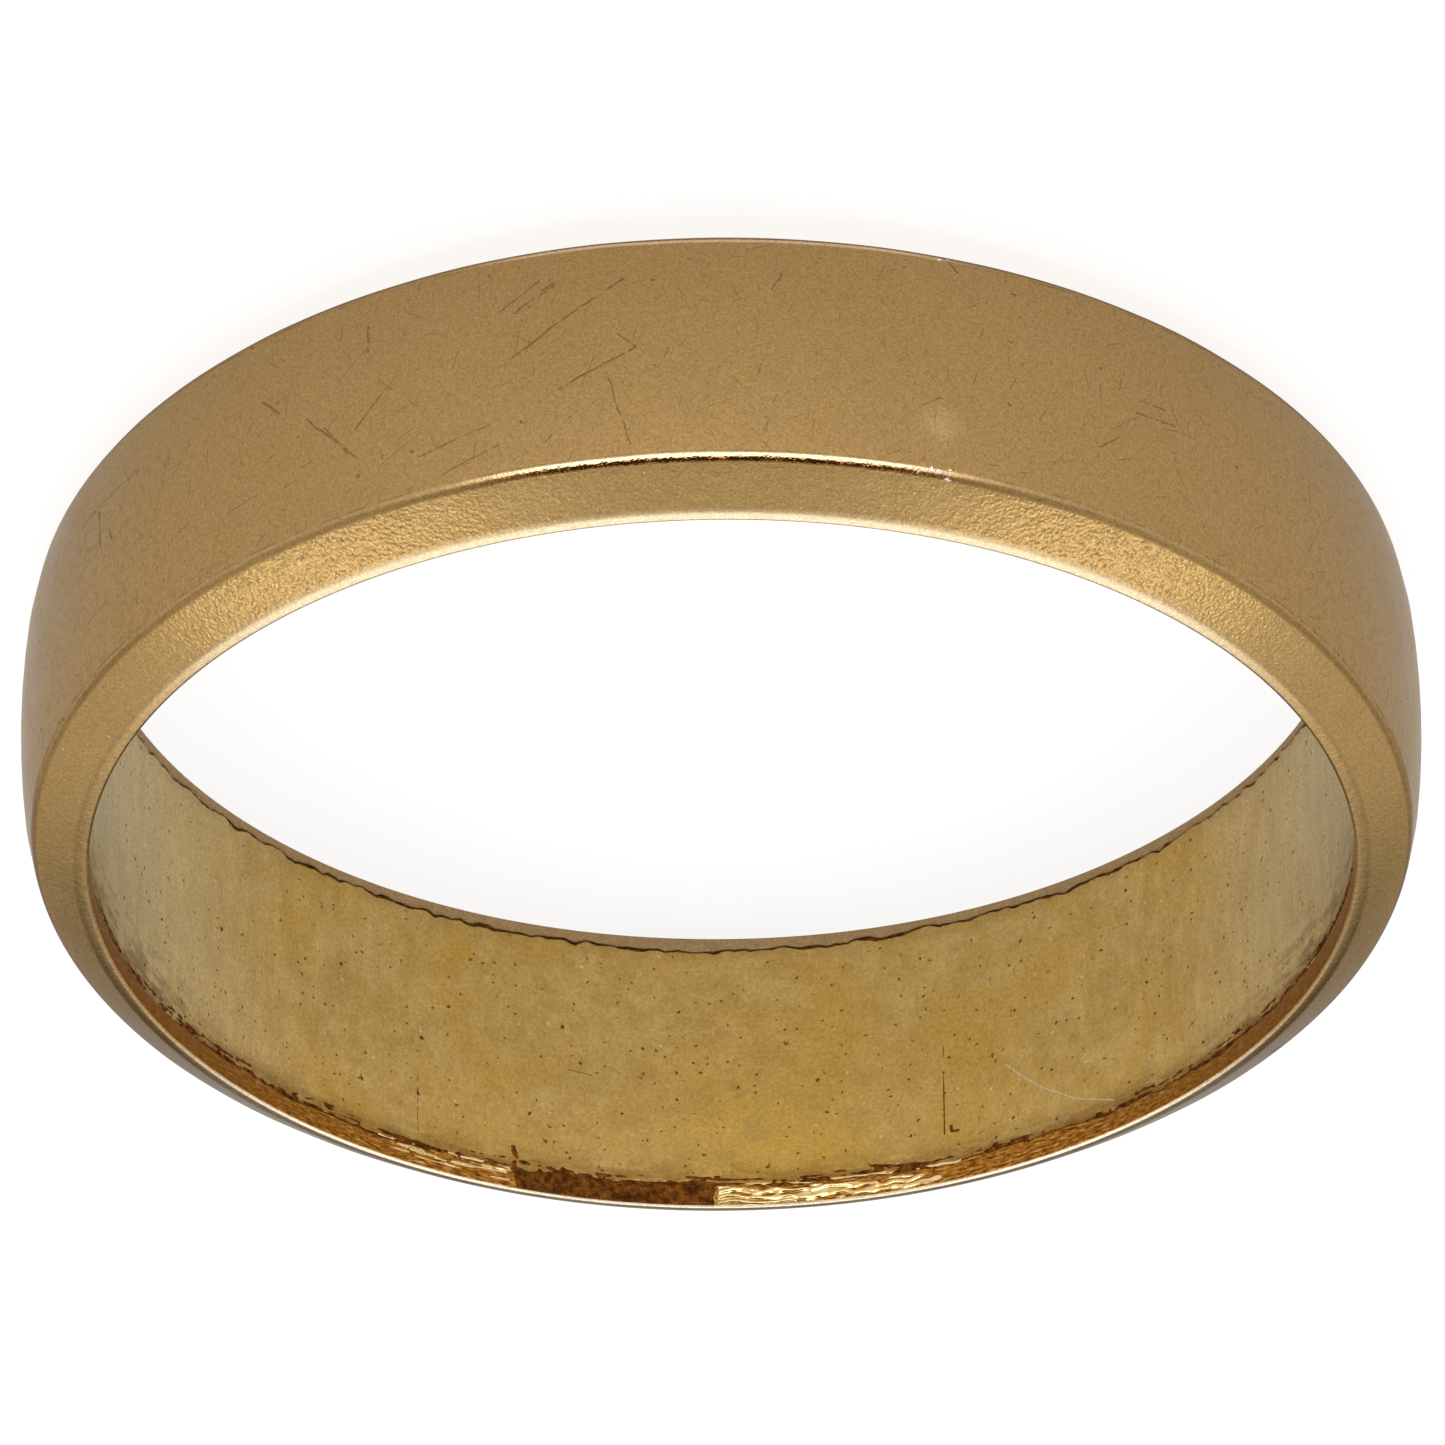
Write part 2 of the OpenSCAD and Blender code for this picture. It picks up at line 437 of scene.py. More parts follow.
# ---------------------------------------------------------------- materials
class Nodes:
    """One metal's node tree, with short calls for the nodes it needs. Lengths in it are millimetres."""

    def __init__(self, name):
        self.material = bpy.data.materials.new(name)
        self.material.use_nodes = True
        self.tree = self.material.node_tree
        self.shader = self.tree.nodes["Principled BSDF"]
        self.shader.inputs["Metallic"].default_value = 1
        self.shader.inputs["Specular Tint"].default_value = (0.70, 0.71, 0.71, 1)
        place = self.tree.nodes.new("ShaderNodeTexCoord").outputs["Object"]
        self.place = self.vector("SCALE", place, scale=1 / MM)
        self.x, self.y, self.z = self.split(self.place)
        self.angle = self.math("WRAP", self.math("DEGREES", self.math("ARCTAN2", self.y, self.x)), 360, 0)

    def put(self, socket, value):
        """Link a socket to another, or set its value."""
        if isinstance(value, bpy.types.NodeSocket):
            self.tree.links.new(value, socket)
        elif isinstance(value, tuple) and socket.type == "RGBA":
            socket.default_value = (*value, 1)
        else:
            socket.default_value = value

    def math(self, operation, a, b=None, c=None, clamp=False):
        node = self.tree.nodes.new("ShaderNodeMath")
        node.operation = operation
        node.use_clamp = clamp
        for socket, value in zip(node.inputs, (a, b, c)):
            if value is not None:
                self.put(socket, value)
        return node.outputs[0]

    def vector(self, operation, a, b=None, scale=None, c=None):
        node = self.tree.nodes.new("ShaderNodeVectorMath")
        node.operation = operation
        self.put(node.inputs[0], a)
        if b is not None:
            self.put(node.inputs[1], b)
        if c is not None:
            self.put(node.inputs[2], c)
        if scale is not None:
            self.put(node.inputs["Scale"], scale)
        return node.outputs["Value"] if operation in ("LENGTH", "DOT_PRODUCT") else node.outputs["Vector"]

    def split(self, vector):
        node = self.tree.nodes.new("ShaderNodeSeparateXYZ")
        self.put(node.inputs[0], vector)
        return node.outputs[0], node.outputs[1], node.outputs[2]

    def join(self, x, y, z=0.0):
        node = self.tree.nodes.new("ShaderNodeCombineXYZ")
        for socket, value in zip(node.inputs, (x, y, z)):
            self.put(socket, value)
        return node.outputs[0]

    def noise(self, per_mm, detail=2, rough=0.5, vector=None):
        """Noise between 0 and 1, of that many grains per mm."""
        node = self.tree.nodes.new("ShaderNodeTexNoise")
        self.put(node.inputs["Vector"], self.place if vector is None else vector)
        node.inputs["Scale"].default_value = per_mm
        node.inputs["Detail"].default_value = detail
        node.inputs["Roughness"].default_value = rough
        return node.outputs["Fac"]

    def cells(self, per_mm, vector=None):
        """Distance to the nearest of scattered points, in cell sizes, and a random value for each."""
        node = self.tree.nodes.new("ShaderNodeTexVoronoi")
        self.put(node.inputs["Vector"], self.place if vector is None else vector)
        node.inputs["Scale"].default_value = per_mm
        return node.outputs["Distance"], self.split(node.outputs["Color"])[0]

    def step(self, value, low, high, out_low=0.0, out_high=1.0):
        """A smooth step from out_low to out_high as the value goes from low to high."""
        node = self.tree.nodes.new("ShaderNodeMapRange")
        node.interpolation_type = "SMOOTHSTEP"
        for name, number in zip(("Value", "From Min", "From Max", "To Min", "To Max"),
                                (value, low, high, out_low, out_high)):
            self.put(node.inputs[name], number)
        return node.outputs["Result"]

    def window(self, value, low, high, soft):
        """1 between low and high, with soft edges."""
        return self.math("MULTIPLY", self.step(value, low - soft, low + soft),
                         self.step(value, high - soft, high + soft, 1.0, 0.0))

    def mix(self, share, a, b):
        node = self.tree.nodes.new("ShaderNodeMix")
        node.data_type = "RGBA"
        self.put(node.inputs["Factor"], share)
        self.put(node.inputs[6], a)
        self.put(node.inputs[7], b)
        return node.outputs[2]

    def zone(self, name):
        """How much a point belongs to a named zone of the mesh, from 0 to 1."""
        node = self.tree.nodes.new("ShaderNodeAttribute")
        node.attribute_name = name
        return node.outputs["Fac"]

    def times(self, *values):
        result = values[0]
        for value in values[1:]:
            result = self.math("MULTIPLY", result, value)
        return result

    def plus(self, *values):
        result = values[0]
        for value in values[1:]:
            result = self.math("ADD", result, value)
        return result

    def speckled(self, colour, value, depth):
        """The colour made lighter and darker by a value that averages a half."""
        change = self.times(self.math("SUBTRACT", value, 0.5), depth)
        return self.vector("SCALE", colour, scale=self.plus(1.0, change))

    def jitter(self):
        """A fine random offset, between -1 and 1 each way, that makes outlines uneven."""
        node = self.tree.nodes.new("ShaderNodeTexNoise")
        self.put(node.inputs["Vector"], self.place)
        node.inputs["Scale"].default_value = 22
        node.inputs["Detail"].default_value = 1
        return self.vector("MULTIPLY_ADD", node.outputs["Color"], (4, 4, 4), c=(-2, -2, -2))

    def pits(self, per_mm, radius, share):
        """Uneven specks of about that radius at a share of scattered points."""
        shaken = self.vector("ADD", self.place, self.vector("SCALE", self.jitter(), scale=0.6 * radius))
        distance, chance = self.cells(per_mm, shaken)
        spot = self.step(distance, radius * per_mm * 0.5, radius * per_mm, 1.0, 0.0)
        return self.math("MULTIPLY", spot, self.math("LESS_THAN", chance, share))

    def stroke(self, flat, start, end, width):
        """A straight scratch between two (arc, height) points of the unrolled surface."""
        start, end = Vector((*start, 0)), Vector((*end, 0))
        length = (end - start).length
        along = (end - start) / length
        from_start = self.vector("SUBTRACT", flat, tuple(start))
        t = self.math("MAXIMUM", self.vector("DOT_PRODUCT", from_start, tuple(along)), 0.0)
        t = self.math("MINIMUM", t, length)
        foot = self.vector("SCALE", tuple(along), scale=t)
        away = self.vector("LENGTH", self.vector("SUBTRACT", from_start, foot))
        return self.step(away, width * 0.4, width, 1.0, 0.0)

    def strokes(self, flat, ends_and_widths):
        """Several scratches together, each as (start, end, width)."""
        result = None
        for start, end, width in ends_and_widths:
            mark = self.stroke(flat, start, end, width)
            result = mark if result is None else self.math("MAXIMUM", result, mark)
        return result

    def scuffs(self, flat, cell, length, width, share):
        """Fine scratches, one at a share of scattered places, each with its own length and direction."""
        node = self.tree.nodes.new("ShaderNodeTexVoronoi")
        node.voronoi_dimensions = "2D"
        self.put(node.inputs["Vector"], flat)
        node.inputs["Scale"].default_value = 1 / cell
        chance, turn, reach = self.split(node.outputs["Color"])
        away = self.vector("SUBTRACT", flat, node.outputs["Position"])
        turn = self.times(turn, 2.6)
        cosine, sine = self.math("COSINE", turn), self.math("SINE", turn)
        along = self.vector("DOT_PRODUCT", away, self.join(cosine, sine))
        across = self.vector("DOT_PRODUCT", away, self.join(sine, self.times(cosine, -1.0)))
        bow = self.plus(across, self.times(along, along, 0.12))
        thin = self.step(self.math("ABSOLUTE", bow), width * 0.3, width, 1.0, 0.0)
        reach = self.times(reach, length / 2)
        beyond = self.math("SUBTRACT", self.math("ABSOLUTE", along), reach)
        ends = self.step(beyond, -0.1 * length, 0.0, 1.0, 0.0)
        return self.times(thin, ends, self.math("LESS_THAN", chance, share))

    def finish(self, colour, roughness, height):
        """Give the shader its colour, roughness and bump, whose height is in mm."""
        self.put(self.shader.inputs["Base Color"], colour)
        self.put(self.shader.inputs["Roughness"], roughness)
        bump = self.tree.nodes.new("ShaderNodeBump")
        bump.inputs["Strength"].default_value = 1
        bump.inputs["Distance"].default_value = MM
        self.put(bump.inputs["Height"], height)
        self.put(self.shader.inputs["Normal"], bump.outputs["Normal"])
        return self.material


# Single marks and patches, as the photo shows them: angles in degrees round the bore from +X, places in mm
NICKS_AND_GLINTS = (250.4, 253.8)             # nicks on the front arris, with painted bright glints
BURNISHED_AND_HIGHLIT = (252, 288)             # polished stretch of the front arris, painted with a highlight beside a dark shade line
SHOULDERS = ((221, 245), (295, 319))    # where the bevels' frosting is coarsest
CHIP = (145.4, 146.8)              # dark chip in the bevel
DENT_HIGHLIGHT = (-3.16, 1.1, 0)             # (arc, height) of a pale painted highlight for a shallow dent in the face
CRUSTED = (70.3, 88.9)             # the lip's dark brown stretch
OCHRE = (84, 104)                  # yellower stretch of the core
RUSTY = (136, 170)                 # browner stretch of the core

# Scratches on the face, each as start, end and width in millimetres. A start or end is (arc, height), where
# arc runs along the face from the near side towards +X.
FACE_STROKES = (
    ((1.2, 0.05), (2.3, 0.62), 0.022), ((1.2, 0.05), (1.45, -0.2), 0.018),
    ((1.4, -1.15), (3.0, 0.0), 0.022), ((2.4, -1.22), (2.95, -0.78), 0.02),
    ((2.6, -1.3), (3.15, -0.85), 0.018), ((2.3, -1.25), (2.75, -0.85), 0.016),
    ((1.3, 1.6), (1.6, 0.45), 0.018), ((5.4, 0.95), (6.2, 0.05), 0.022), ((5.55, 0.85), (5.9, 0.3), 0.016),
    ((4.8, -0.1), (5.4, 0.5), 0.018), ((6.7, -0.25), (7.0, -0.6), 0.02), ((5.2, -0.75), (5.2, -1.2), 0.022),
    ((3.2, 1.35), (4.2, 1.65), 0.014), ((2.05, 1.0), (2.55, 1.45), 0.014), ((3.3, 1.0), (4.4, 1.25), 0.014),
    ((10.35, 0.0), (10.45, -0.2), 0.024), ((10.7, -0.05), (10.8, -0.7), 0.03),
    ((9.7, -0.8), (11.3, -0.82), 0.014), ((-6.9, -0.05), (-6.2, 0.0), 0.02),
    ((-6.7, -0.25), (-6.35, -0.24), 0.018), ((-5.9, 0.5), (-5.55, 0.8), 0.014),
    ((-0.9, -1.3), (-0.7, -0.9), 0.016), ((-3.4, -1.6), (-3.25, -1.8), 0.024),
    ((-3.1, 0.65), (-2.85, 0.8), 0.018),
)


def satin_gold():
    """The sheet: satin face with fine scratches and painted shade towards the sides, frosted bevels with
    painted glints, rim strips and arris with painted highlights and a painted dark line, tarnished lips.
    """
    n = Nodes("satin_gold")
    bevel, arris, strip, lip, crest = (n.zone(name) for name in ("bevel", "arris", "strip", "lip", "crest"))
    face_r = CROWN_R / MM
    flat = n.join(n.times(n.math("SUBTRACT", n.angle, 270.0), face_r * math.pi / 180), n.z)
    wobble = n.noise(2.5, 2)
    flat_wobbly = n.join(n.plus(n.split(flat)[0], n.times(wobble, 0.12)), n.z)

    grain = n.noise(24, 2, 0.6)
    peel = n.noise(7, 2, 0.5)
    cloud = n.noise(0.3, 3, 0.55)
    blotch = n.noise(1.4, 3, 0.6)
    shoulders = n.plus(*(n.window(n.angle, *turn, 7) for turn in SHOULDERS))
    frosted = n.plus(0.28, n.times(shoulders, 0.72))
    beads = n.times(n.math("POWER", n.noise(20, 0, 0.0), 3.0), 1.5)
    pebble = n.times(n.plus(beads, n.times(n.noise(36, 1, 0.5), 0.3)), frosted)
    nicks_and_glints = n.times(arris, n.window(n.angle, *NICKS_AND_GLINTS, 0.3), n.pits(8, 0.05, 0.9))
    # painted shade: a broken dark line along the edge of the arris crest
    arris_shade_line = n.times(crest, n.math("SUBTRACT", 1.0, crest), 4.0, n.step(n.noise(3, 4, 0.7), 0.42, 0.6))
    burnish_and_highlight = n.times(arris, n.plus(0.12, n.times(n.window(n.angle, *BURNISHED_AND_HIGHLIT, 5), 0.88)))
    speckle = n.noise(25, 3, 0.75)
    pits = n.pits(2.6, 0.036, 0.45)
    fine_pits = n.pits(6, 0.022, 0.55)
    # painted highlights: pale glints scattered over the bevels
    painted_glints = n.times(bevel, n.pits(6, 0.018, 0.35))

    strokes = n.strokes(flat_wobbly, [(start, end, width * 1.1) for start, end, width in FACE_STROKES])
    strokes = n.times(strokes, n.step(n.noise(6, 3, 0.6), 0.34, 0.52))
    long_hairs = n.scuffs(flat_wobbly, 0.9, 0.8, 0.012, 0.5)
    hairs = n.math("MAXIMUM", long_hairs, n.scuffs(flat_wobbly, 0.38, 0.34, 0.011, 0.75))
    on_face = n.math("SUBTRACT", 1.0, n.math("MAXIMUM", bevel, n.math("MAXIMUM", strip, lip), clamp=True))

    colour = n.mix(cloud, (0.303, 0.183, 0.066), (0.337, 0.210, 0.082))
    colour = n.mix(n.step(blotch, 0.35, 0.75, 0.0, 0.35), colour, (0.322, 0.195, 0.062))
    bevel_colour = n.mix(blotch, (0.44, 0.275, 0.096), (0.47, 0.30, 0.118))
    colour = n.mix(bevel, colour, bevel_colour)
    # dark mottling on the face, deepened towards the sides as painted shade
    side_shade_depth = n.step(n.math("ABSOLUTE", n.x), 5.5, 9.0, 0.06, 0.45)
    mottle_and_side_shade = n.times(on_face, n.step(n.noise(8, 4, 0.75), 0.5, 0.66), side_shade_depth)
    colour = n.mix(mottle_and_side_shade, colour, (0.20, 0.115, 0.045))
    # painted highlight: a pale round patch for a shallow dent
    dent_highlight = n.step(n.vector("LENGTH", n.vector("SUBTRACT", flat, DENT_HIGHLIGHT)), 0.05, 0.45, 1.0, 0.0)
    colour = n.mix(n.times(dent_highlight, 0.5), colour, (0.43, 0.29, 0.135))
    scratched = n.plus(n.times(strokes, 0.75), n.times(hairs, 0.45))
    dirt = n.times(on_face, n.plus(scratched, n.times(pits, 0.75), n.times(fine_pits, 0.45)))
    colour = n.mix(n.math("MINIMUM", dirt, 0.7), colour, (0.13, 0.075, 0.028))

    # painted shade line along the arris crest
    colour = n.mix(n.math("MINIMUM", n.times(arris_shade_line, 0.5), 0.6), colour, (0.13, 0.06, 0.02))
    # painted highlights: pale glints on the bevels
    colour = n.mix(n.math("MINIMUM", n.times(painted_glints, 0.7), 1.0), colour, (0.85, 0.70, 0.45))
    # painted highlight: the rim strips made paler towards the near and far sides, palest at the far side
    worn_and_highlit = n.times(strip, n.step(n.math("ABSOLUTE", n.y), 3.5, 7.5, 0.1, 1.0))
    colour = n.mix(worn_and_highlit, colour, n.mix(n.step(n.y, -1.0, 1.0), (0.60, 0.47, 0.30), (0.72, 0.60, 0.45)))
    chip = n.times(bevel, n.window(n.angle, *CHIP, 0.3), n.window(n.z, 1.93, 2.05, 0.05))
    colour = n.mix(n.times(chip, 0.8), colour, (0.10, 0.08, 0.075))
    # painted highlight on the arris crest and a painted dark shade line below it, strongest on the polished
    # near stretch
    colour = n.mix(burnish_and_highlight, colour, n.mix(crest, (0.36, 0.16, 0.04), (0.60, 0.44, 0.26)))
    # painted highlight: near-white glints on the nicks of the front arris
    colour = n.mix(nicks_and_glints, colour, (0.95, 0.90, 0.82))

    back_lip = n.mix(n.noise(5, 3), (0.26, 0.165, 0.075), (0.38, 0.25, 0.12))
    streaks = n.noise(3, 3, 0.6, vector=n.join(n.times(n.angle, 0.35), n.times(n.z, 9.0)))
    orange = n.mix(n.step(streaks, 0.36, 0.62), (0.15, 0.045, 0.004), (0.46, 0.20, 0.03))
    orange = n.mix(n.step(streaks, 0.58, 0.72, 0.0, 0.8), orange, (0.62, 0.44, 0.18))
    brown = n.mix(n.noise(6, 4, 0.7), (0.07, 0.018, 0.003), (0.20, 0.07, 0.012))
    patch = n.window(n.angle, *CRUSTED, 0.25)
    orange = n.mix(n.step(n.math("ABSOLUTE", n.x), 4.5, 8.0, 0.0, 0.75), orange, (0.21, 0.085, 0.009))
    front_lip = n.mix(patch, orange, brown)
    lip_colour = n.mix(n.step(n.z, -0.5, 0.5), back_lip, front_lip)
    colour = n.mix(lip, colour, lip_colour)

    colour = n.speckled(colour, speckle, 1.3)
    roughness = n.plus(0.36, n.times(n.math("SUBTRACT", blotch, 0.5), 0.12), n.times(bevel, -0.06),
                       n.times(strip, -0.08), n.times(burnish_and_highlight, -0.2), n.times(lip, 0.12), n.times(dirt, 0.15),
                       n.times(painted_glints, -0.10))
    beside_face = n.math("MINIMUM", n.plus(bevel, strip, arris), 1.0)
    edge_tint = n.mix(beside_face, (0.70, 0.71, 0.71), (0.37, 0.40, 0.46))
    n.put(n.shader.inputs["Specular Tint"], n.mix(strip, edge_tint, (0.44, 0.38, 0.31)))
    sunk = n.plus(n.times(hairs, -0.003), n.times(pits, -0.004), n.times(fine_pits, -0.003))
    height = n.plus(
        n.times(peel, n.plus(0.004, n.times(bevel, 0.003))),
        n.times(grain, 0.0018),
        n.times(pebble, bevel, bevel, 0.0088),
        n.times(n.noise(34, 1, 0.5), bevel, 0.0020),
        n.times(burnish_and_highlight, n.noise(6, 3, 0.7), 0.015),
        n.times(nicks_and_glints, -0.010),
        n.times(on_face, n.math("SUBTRACT", 1.0, arris), sunk),
        n.times(blotch, n.times(lip, 0.03)),
    )
    return n.finish(colour, roughness, height)


def yellow_metal():
    """The core: yellow bore wall, ochre in places, with a painted reflection that makes it paler to the
    sides, painted light towards the front rim, painted glints, dark pits and hairlines.
    """
    n = Nodes("yellow_metal")
    flat_x = n.times(n.math("SUBTRACT", n.angle, 90.0), BORE_R / MM * math.pi / 180)
    flat = n.join(flat_x, n.z)
    cloud = n.noise(0.45, 3, 0.6)
    blotch = n.noise(2.4, 4, 0.65)
    grain = n.noise(18, 3, 0.6)
    peel = n.noise(6, 2, 0.5)
    seam = n.zone("seam")

    colour = n.mix(n.step(blotch, 0.32, 0.68), (0.362, 0.225, 0.062), (0.434, 0.287, 0.098))
    ochre = n.times(n.window(n.angle, *OCHRE, 9), n.step(n.z, -1.2, 0.6), n.step(blotch, 0.3, 0.6))
    colour = n.mix(n.times(ochre, 0.6), colour, (0.43, 0.254, 0.036))
    colour = n.mix(n.step(cloud, 0.44, 0.68, 0.0, 0.65), colour, (0.40, 0.240, 0.043))
    # painted reflection: the bore wall paler towards the sides
    side_reflection = n.plus(n.step(n.x, 6.0, 8.8, 0.0, 0.85), n.step(n.x, -8.8, -6.0, 0.65, 0.0))
    rust_cloud = n.noise(1.1, 3, 0.6, vector=n.join(flat_x, n.times(n.z, 0.45)))
    rust = n.times(n.window(n.angle, *RUSTY, 8), n.step(rust_cloud, 0.46, 0.66))
    colour = n.mix(n.times(rust, 0.7), colour, (0.38, 0.20, 0.035))
    colour = n.mix(side_reflection, colour, (0.455, 0.352, 0.172))
    fine_pits = n.times(n.pits(6.0, 0.025, 0.65), 0.85)
    pits = n.math("MINIMUM", n.plus(n.pits(1.7, 0.044, 0.7), n.pits(3.6, 0.032, 0.7), fine_pits), 1.0)
    lines = n.times(n.stroke(flat, (-4.72, 0.75), (-4.72, 1.8), 0.010), n.step(n.noise(8, 2), 0.42, 0.6))
    dash = n.times(n.stroke(flat, (-2.33, 0.13), (-1.97, 0.18), 0.014), 0.6)
    hook = n.strokes(flat, (((3.43, 1.38), (3.44, 1.47), 0.035), ((3.45, 1.48), (3.54, 1.48), 0.032)))
    marks = n.math("MAXIMUM", n.math("MAXIMUM", lines, dash), hook)
    crack = n.times(seam, n.step(n.noise(5, 3), 0.35, 0.6, 0.1, 0.75))
    brown = n.math("MINIMUM", n.plus(n.times(pits, 0.85), n.times(marks, 0.95), crack), 0.9)
    smear = n.noise(1.6, 4, 0.65, vector=n.join(flat_x, n.times(n.z, 3.0)))
    front_dirt = n.times(n.step(n.z, 1.45, 1.98), n.step(smear, 0.34, 0.58))
    colour = n.mix(n.times(front_dirt, 0.6), colour, (0.17, 0.07, 0.015))
    at_sides = n.step(n.math("ABSOLUTE", n.x), 7.0, 8.6)
    side_streaks = n.times(at_sides, n.step(n.z, 0.6, 1.7), n.step(smear, 0.45, 0.6))
    colour = n.mix(n.times(side_streaks, 0.6), colour, (0.16, 0.10, 0.04))
    colour = n.mix(brown, colour, (0.07, 0.022, 0.004))
    # painted glints: small pale flecks on the bore wall
    colour = n.mix(n.times(n.pits(4.3, 0.03, 0.2), 0.45), colour, (0.75, 0.58, 0.32))
    hair = n.strokes(flat, (((4.32, 0.55), (4.85, 1.08), 0.018), ((4.85, 1.08), (5.5, 1.53), 0.016),
                            ((5.5, 1.53), (6.2, 1.82), 0.014)))
    colour = n.mix(n.times(hair, 0.5), colour, (0.50, 0.42, 0.36))
    colour = n.speckled(colour, n.noise(20, 4, 0.75), 1.25)
    # painted light: the bore wall lighter towards the front rim
    colour = n.speckled(colour, n.step(n.z, 0.3, 1.3, 0.5, 1.0), 0.2)
    brush = n.noise(4, 3, 0.6, vector=n.join(flat_x, n.times(n.z, 0.2)))
    colour = n.speckled(colour, brush, n.step(n.math("ABSOLUTE", n.x), 2.0, 7.0, 0.1, 0.45))

    roughness = n.plus(0.38, n.times(n.math("SUBTRACT", blotch, 0.5), 0.14), n.times(brown, 0.2))
    height = n.plus(n.times(peel, 0.005), n.times(grain, 0.0015), n.times(blotch, 0.009),
                    n.times(pits, -0.008), n.times(marks, -0.004))
    return n.finish(colour, roughness, height)


def seam_tarnish():
    """Dark, uneven solder in the cracks beside the lips."""
    n = Nodes("seam_tarnish")
    fleck = n.noise(9, 3, 0.65)
    colour = n.mix(n.step(fleck, 0.35, 0.7), (0.06, 0.020, 0.004), (0.20, 0.068, 0.010))
    return n.finish(colour, n.step(fleck, 0.2, 0.8, 0.62, 0.42), n.times(fleck, 0.02))


def bright_solder():
    """Clean solder, melted smooth."""
    n = Nodes("bright_solder")
    flow = n.noise(5, 2, 0.5)
    colour = n.mix(flow, (0.50, 0.29, 0.06), (0.95, 0.76, 0.42))
    return n.finish(colour, n.step(flow, 0.3, 0.7, 0.32, 0.2), n.times(flow, 0.03))


# ---------------------------------------------------------------- the pieces
shell = shell_piece()
core = core_piece()
front_seam = seam_piece("front_seam_solder", 1, front_edge, front_gap)
back_seam = seam_piece("back_seam_solder", -1, back_edge, back_gap)
shell_slip = joint_piece("shell_joint_solder", SHELL_JOINT, BORE_R + 0.004 * MM, BORE_R + SHEET_T,
                         FRONT_EDGE, HALF_W - 0.05 * MM, 0.03 * MM, (-HALF_W, HALF_W))
core_slip = joint_piece("core_joint_solder", CORE_JOINT, BORE_R - 0.001 * MM, BORE_R + 0.3 * MM,
                        -1.5 * MM, 1.5 * MM, 0.011 * MM, (0, HALF_W))
run = skin_piece("solder_run", 89.15, 112.6,
                 FRONT_EDGE - 0.04 * MM, HALF_W - 0.02 * MM, 0.009 * MM, solder_run)
threads = skin_piece("lip_threads", 56, 70,
                     FRONT_EDGE - 0.04 * MM, HALF_W - 0.03 * MM, 0.009 * MM, lip_threads)
tarnish = skin_piece("tarnish_crust", 69.5, 89.15,
                     FRONT_EDGE - 0.62 * MM, HALF_W - 0.02 * MM, 0.011 * MM, crust)
specks = skin_piece("tarnish_flecks", 3, 177,
                    FRONT_EDGE - 0.24 * MM, FRONT_EDGE + 0.14 * MM, 0.013 * MM, flecks)

gold = satin_gold()
yellow = yellow_metal()
dark = seam_tarnish()
bright = bright_solder()

for piece, material, node, slot in (
    (shell, gold, "outer_shell", "shell_gold"),
    (core, yellow, "core_band", "core_metal"),
    (front_seam, dark, "front_solder_seam", "seam_solder"),
    (back_seam, dark, "back_solder_seam", "seam_solder"),
    (shell_slip, bright, "shell_joint", "joint_solder"),
    (core_slip, dark, "core_joint", "joint_solder"),
    (run, bright, "shell_joint", "joint_solder"),
    (threads, bright, "front_solder_seam", "seam_solder"),
    (tarnish, dark, "front_solder_seam", "seam_solder"),
    (specks, dark, "front_solder_seam", "seam_solder"),
):
    piece.data.materials.append(material)
    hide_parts(node)
    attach(piece, "root")


# ---------------------------------------------------------------- floor, light and camera
FLOOR_SIDE = 0.6                   # half the floor's side
FLOOR_GREY = 0.28                  # the floor scatters this much of the light
FLOOR_GLOW = 0.80                  # and glows like a light table

# The light tent: brightness at the horizon and overhead, and what is added low at the sides and behind them
TENT_LOW = 0.62
TENT_HIGH = 0.85
TENT_SIDE = 0.45
TENT_QUARTER = 0.26
BACK_DIM = 0.85                    # share of light lost low at the back
# The dark opening above the near side: elevations and half-width in degrees, softness, share of light lost
OPENING_LOW = 28
OPENING_HIGH = 60
OPENING_SOFT = 5
OPENING_SIDE = 42
OPENING_SIDE_SOFT = 12
OPENING_DARK = 0.97

# Soft rectangles of light: name, place, size, brightness of its surface
LIGHTS = (
    ("top_softbox", (0, 0.18, 0.295), (0.34, 0.24), 0.95),
    ("left_strip", (0.19, 0.02, 0.28), (0.035, 0.2), 3.4),
    ("right_strip", (-0.19, 0.02, 0.28), (0.035, 0.2), 3.4),
    ("front_card", (0, -0.27, 0.066), (0.42, 0.14), 1.85),
)

# The camera, fitted to the outline in the photo
CAMERA_ELEVATION = math.radians(32.72)
CAMERA_DISTANCE = 251 * MM         # from the middle of the front rim
CAMERA_TARGET = (-0.023 * MM, 0, -0.245 * MM)
CAMERA_ROLL = math.pi - math.radians(0.45)
CAMERA_LENS = 436.5


def floor():
    mesh = bpy.data.meshes.new("floor")
    side = FLOOR_SIDE
    z = -HALF_W
    corners = [(-side, -side, z), (side, -side, z), (side, side, z), (-side, side, z)]
    mesh.from_pydata(corners, [], [(0, 1, 2, 3)])
    plane = bpy.data.objects.new("floor", mesh)
    bpy.context.scene.collection.objects.link(plane)
    material = bpy.data.materials.new("light_table")
    material.use_nodes = True
    shader = material.node_tree.nodes["Principled BSDF"]
    shader.inputs["Base Color"].default_value = (FLOOR_GREY, FLOOR_GREY, FLOOR_GREY, 1)
    shader.inputs["Roughness"].default_value = 0.9
    shader.inputs["Emission Color"].default_value = (1, 1, 1, 1)
    shader.inputs["Emission Strength"].default_value = FLOOR_GLOW
    plane.data.materials.append(material)


def area_light(name, place, size, brightness):
    """A soft rectangle of light that faces the band."""
    data = bpy.data.lights.new(name, "AREA")
    data.shape = "RECTANGLE"
    data.size, data.size_y = size
    data.energy = 4 * brightness * size[0] * size[1]
    light = bpy.data.objects.new(name, data)
    bpy.context.scene.collection.objects.link(light)
    light.location = place
    light.rotation_euler = (-Vector(place)).to_track_quat("-Z", "Y").to_euler()


